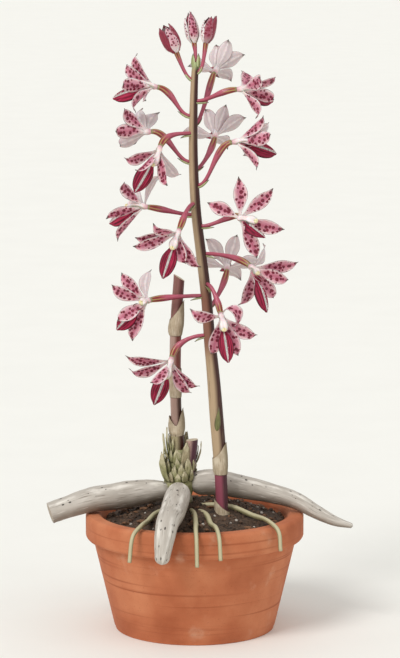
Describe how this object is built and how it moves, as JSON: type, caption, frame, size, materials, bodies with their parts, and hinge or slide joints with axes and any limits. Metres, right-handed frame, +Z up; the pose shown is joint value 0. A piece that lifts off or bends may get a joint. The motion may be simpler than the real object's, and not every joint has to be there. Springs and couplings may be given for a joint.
{
  "type": "potted blotched hyacinth orchid",
  "caption": "Tall leafless orchid spike with blotched pink blooms and crimson lips, buds at the top, an older cut stem and thick roots over the rim of a low terracotta pot.",
  "frame": {"origin": "centre of the pot's underside", "axes": "+Z up along the pot's axis; the plant's drawn side faces -Y, with +X to its right"},
  "size_m": [0.1457, 0.1187, 0.2938],
  "materials": {
    "terracotta": "unglazed fired clay",
    "soil": "dark crumbly potting soil",
    "stem": "smooth, tan on one side and purple-brown on the other",
    "sheath": "papery buff sheath with fine veins",
    "scale_leaf": "dry ragged scale leaf",
    "thick_root": "pale fleshy root with dark specks",
    "thin_root": "thin olive-brown root",
    "pedicel": "smooth crimson stalk",
    "tepal": "soft petal, pale pink with crimson blotches",
    "lip": "velvety crimson lip with a pale hairy band",
    "bud": "closed petals, crimson and pink"
  },
  "bodies": {
    "root": {"pot": "terracotta", "soil": "soil", "flower_stem": "stem", "flower_stem_sheath": "sheath", "old_stem": "stem", "old_stem_sheath": "sheath", "stem_stub": "stem", "crown_scales": "scale_leaf", "root_left": "thick_root", "root_right": "thick_root", "root_front": "thick_root", "thin_roots": "thin_root", "bloom_01_pedicel": "pedicel", "bloom_01_tepals": "tepal", "bloom_01_lip": "lip", "bloom_02_pedicel": "pedicel", "bloom_02_tepals": "tepal", "bloom_02_lip": "lip", "bloom_03_pedicel": "pedicel", "bloom_03_tepals": "tepal", "bloom_03_lip": "lip", "bloom_04_pedicel": "pedicel", "bloom_04_tepals": "tepal", "bloom_04_lip": "lip", "bloom_05_pedicel": "pedicel", "bloom_05_tepals": "tepal", "bloom_05_lip": "lip", "bloom_06_pedicel": "pedicel", "bloom_06_tepals": "tepal", "bloom_06_lip": "lip", "bloom_07_pedicel": "pedicel", "bloom_07_tepals": "tepal", "bloom_07_lip": "lip", "bloom_08_pedicel": "pedicel", "bloom_08_tepals": "tepal", "bloom_08_lip": "lip", "bloom_09_pedicel": "pedicel", "bloom_09_tepals": "tepal", "bloom_09_lip": "lip", "bloom_10_pedicel": "pedicel", "bloom_10_tepals": "tepal", "bloom_10_lip": "lip", "bloom_11_pedicel": "pedicel", "bloom_11_tepals": "tepal", "bloom_11_lip": "lip", "bloom_12_pedicel": "pedicel", "bloom_12_tepals": "tepal", "bloom_12_lip": "lip", "bloom_13_pedicel": "pedicel", "bloom_13_tepals": "tepal", "bloom_13_lip": "lip", "bloom_14_pedicel": "pedicel", "bloom_14_tepals": "tepal", "bloom_14_lip": "lip", "bloom_15_pedicel": "pedicel", "bloom_15_tepals": "tepal", "bloom_15_lip": "lip", "bud_left": "bud", "bud_top": "bud", "bud_right": "bud"}
  },
  "joints": []
}
